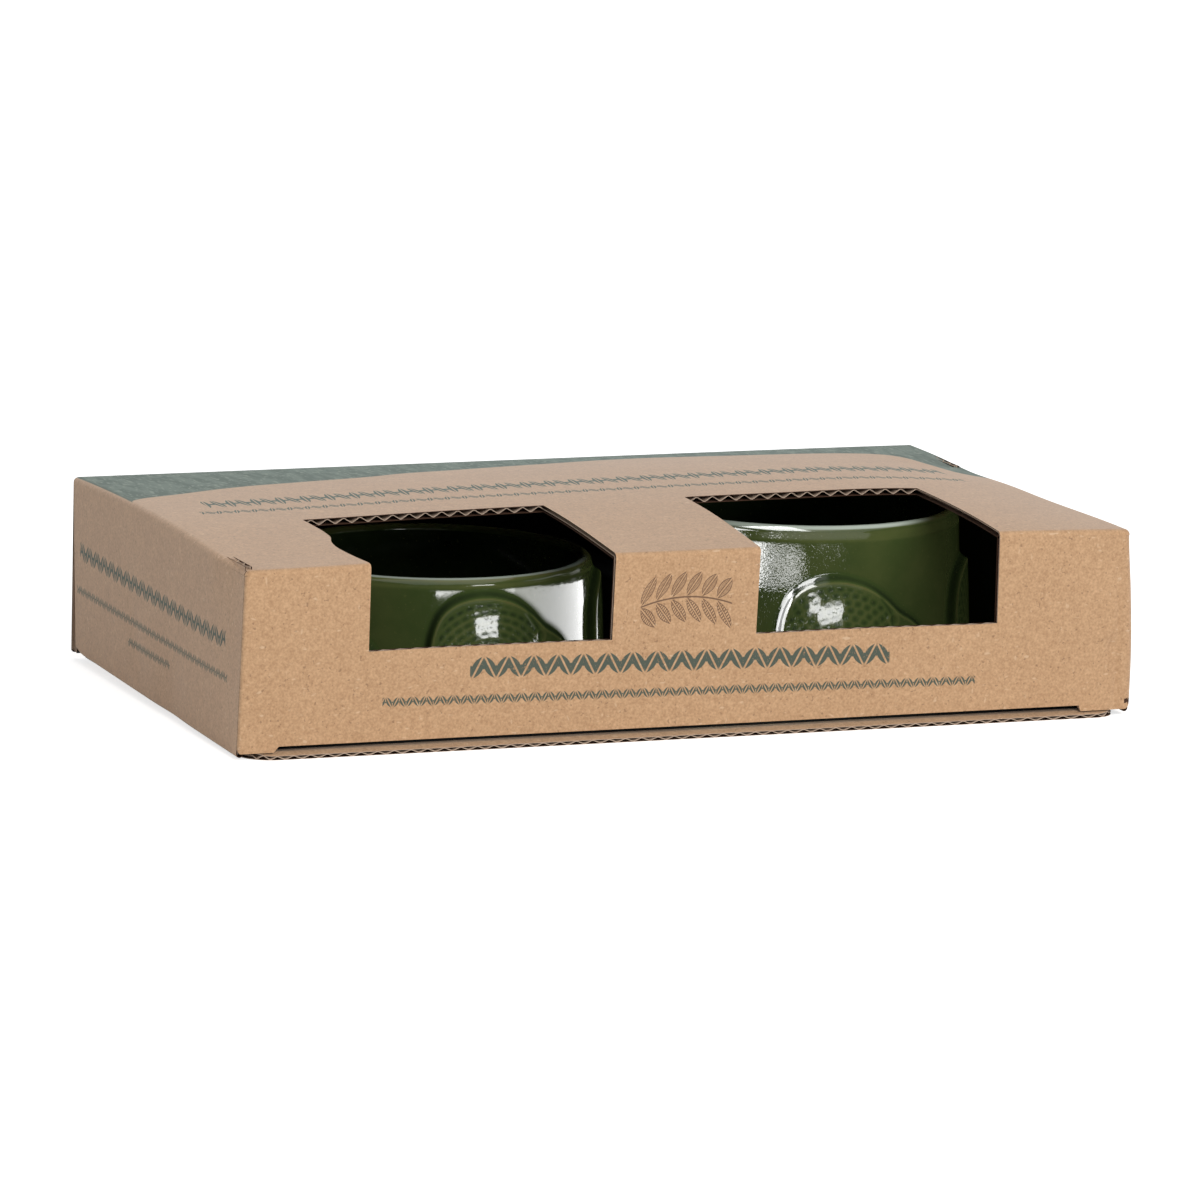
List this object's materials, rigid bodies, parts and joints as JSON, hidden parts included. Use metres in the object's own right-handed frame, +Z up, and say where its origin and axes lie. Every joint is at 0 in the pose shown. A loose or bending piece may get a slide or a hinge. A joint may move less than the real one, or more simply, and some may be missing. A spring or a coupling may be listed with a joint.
{
  "type": "pet feeding bowl set",
  "caption": "Kraft window carton with a lid that swings back, holding a low and a tall round ceramic bowl with raised hedgehogs.",
  "frame": {"origin": "under the middle of the carton, on the surface it stands on", "axes": "+X along the carton's length to the right, -Y towards the front with the windows, +Z up"},
  "size_m": [0.33, 0.19, 0.0716],
  "materials": {
    "kraft_board": "matt brown kraft corrugated board",
    "green_glaze": "dark olive green gloss glaze"
  },
  "bodies": {
    "base": {"bottom_board": "kraft_board", "divider": "kraft_board"},
    "cover": {"top_panel": "kraft_board", "front_wall": "kraft_board", "back_wall": "kraft_board", "left_outer_wall": "kraft_board", "right_outer_wall": "kraft_board", "left_inner_wall": "kraft_board", "right_inner_wall": "kraft_board", "front_left_flap": "kraft_board", "front_right_flap": "kraft_board", "back_left_flap": "kraft_board", "back_right_flap": "kraft_board"},
    "feeding_bowl": {"feeding_bowl": "green_glaze"},
    "drinking_bowl": {"drinking_bowl": "green_glaze"}
  },
  "joints": [
    {"name": "cover_open", "type": "hinge", "parent": "base", "child": "cover", "pos_m": [0, 0.095, 0.0025], "axis": [-1, 0, 0], "range_deg": [0, 90]},
    {"name": "feeding_bowl_lift", "type": "slide", "parent": "base", "child": "feeding_bowl", "axis": [0, 0, 1], "range_m": [0, 0.016]},
    {"name": "drinking_bowl_lift", "type": "slide", "parent": "base", "child": "drinking_bowl", "axis": [0, 0, 1], "range_m": [0, 0.004]}
  ]
}
